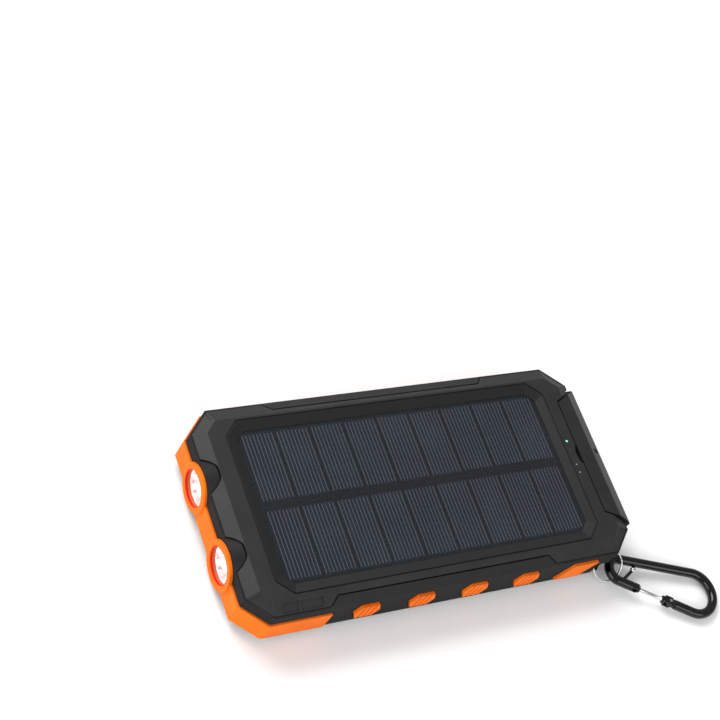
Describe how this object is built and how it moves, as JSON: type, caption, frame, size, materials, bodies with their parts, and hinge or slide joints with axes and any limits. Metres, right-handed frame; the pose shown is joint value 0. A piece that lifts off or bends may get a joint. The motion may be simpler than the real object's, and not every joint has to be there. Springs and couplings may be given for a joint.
{
  "type": "solar phone charger",
  "caption": "Rugged pocket solar power bank with a rubber bumper, twin torches, a hinged port cover, a compass on the back and a snap hook on a split ring.",
  "frame": {"origin": "centre of the back rest face, which lies on the table", "axes": "+X along the length towards the port cover, +Y across the width, +Z out of the solar face"},
  "size_m": [0.1891, 0.1007, 0.02],
  "materials": {
    "black_shell": "matte moulded, fine texture",
    "orange_rubber": "satin moulded bumper rubber",
    "foam_grey": "closed-cell foam and tape",
    "board_dark": "dark laminate",
    "silicon": "dark blue cell with fine grid lines",
    "clear_panel": "clear satin sheet",
    "clear_plastic": "clear",
    "led_white": "led package",
    "black_plastic": "matte",
    "bright_reflector": "vacuum metallised",
    "cell_foil": "foil pouch",
    "board_green": "solder mask",
    "steel_plate": "bright plated",
    "black_gloss": "polished",
    "dial_black": "printed dial",
    "grip_rubber": "fine ribbed",
    "screw_steel": "plated",
    "black_anodised": "gloss black anodised",
    "lead_red": "wire insulation",
    "lead_black": "wire insulation"
  },
  "bodies": {
    "case": {"front_shell": "black_shell", "back_shell": "black_shell", "side_frame": "black_shell", "bumper_frame": "orange_rubber", "panel_gasket": "foam_grey", "solar_board": "board_dark", "solar_cells": "silicon", "panel_cover": "clear_panel", "light_pipe": "clear_plastic", "indicator_leds": "led_white", "torch_sleeve_right": "black_plastic", "torch_sleeve_left": "black_plastic", "torch_lens_right": "clear_plastic", "torch_lens_left": "clear_plastic", "torch_reflector_right": "bright_reflector", "torch_reflector_left": "bright_reflector", "torch_led_right": "led_white", "torch_led_left": "led_white", "battery_cell_right": "cell_foil", "battery_cell_left": "cell_foil", "battery_tape": "foam_grey", "battery_foam": "foam_grey", "circuit_board": "board_green", "usb_a_right_shell": "steel_plate", "usb_a_left_shell": "steel_plate", "micro_usb_shell": "steel_plate", "usb_a_right_tongue": "black_plastic", "usb_a_left_tongue": "black_plastic", "micro_usb_tongue": "black_plastic", "port_fascia": "black_plastic", "power_switch": "black_plastic", "compass_bezel": "black_gloss", "compass_lens": "clear_plastic", "compass_capsule": "black_plastic", "compass_pivot": "steel_plate", "centre_grip": "grip_rubber", "side_grip_left": "grip_rubber", "side_grip_right": "grip_rubber", "back_plaque": "black_shell", "case_screws": "screw_steel", "screw_plugs": "grip_rubber", "cover_pin": "screw_steel", "lanyard_anchor": "black_plastic", "torch_leads": "lead_red", "battery_leads": "lead_red", "panel_leads": "lead_black"},
    "port_cover": {"port_cover": "black_plastic", "port_seal": "grip_rubber"},
    "power_button": {"power_button": "orange_rubber"},
    "compass_dial": {"compass_dial": "dial_black"},
    "split_ring": {"split_ring": "steel_plate"},
    "carabiner": {"carabiner_body": "black_anodised", "gate_rivet": "screw_steel"},
    "carabiner_gate": {"carabiner_gate": "black_anodised"}
  },
  "joints": [
    {"name": "cover_hinge", "type": "hinge", "parent": "case", "child": "port_cover", "pos_m": [0.0719, 0, 0.0033], "axis": [0, 1, 0], "range_deg": [0, 95]},
    {"name": "power_press", "type": "slide", "parent": "case", "child": "power_button", "axis": [0, -1, 0], "range_m": [0, 0.0006], "stiffness_N_per_m": 800, "springref_m": -0.0004},
    {"name": "dial_turn", "type": "hinge", "parent": "case", "child": "compass_dial", "pos_m": [0.0591, 0, 0.0022], "axis": [0, 0, 1], "continuous": true},
    {"name": "ring_swing", "type": "hinge", "parent": "case", "child": "split_ring", "pos_m": [0.0676, -0.0346, 0.0061], "axis": [0, 0, 1], "range_deg": [-8, 8]},
    {"name": "hook_swing", "type": "hinge", "parent": "split_ring", "child": "carabiner", "pos_m": [0.07456, -0.03919, 0.00442], "axis": [0.0569, -0.0265, 0.998], "range_deg": [-12, 12]},
    {"name": "gate_open", "type": "hinge", "parent": "carabiner", "child": "carabiner_gate", "pos_m": [0.09034, -0.054, 0.00313], "axis": [-0.0569, 0.0265, -0.998], "range_deg": [0, 16], "stiffness_Nm_per_rad": 0.01, "springref_deg": -11.46}
  ]
}
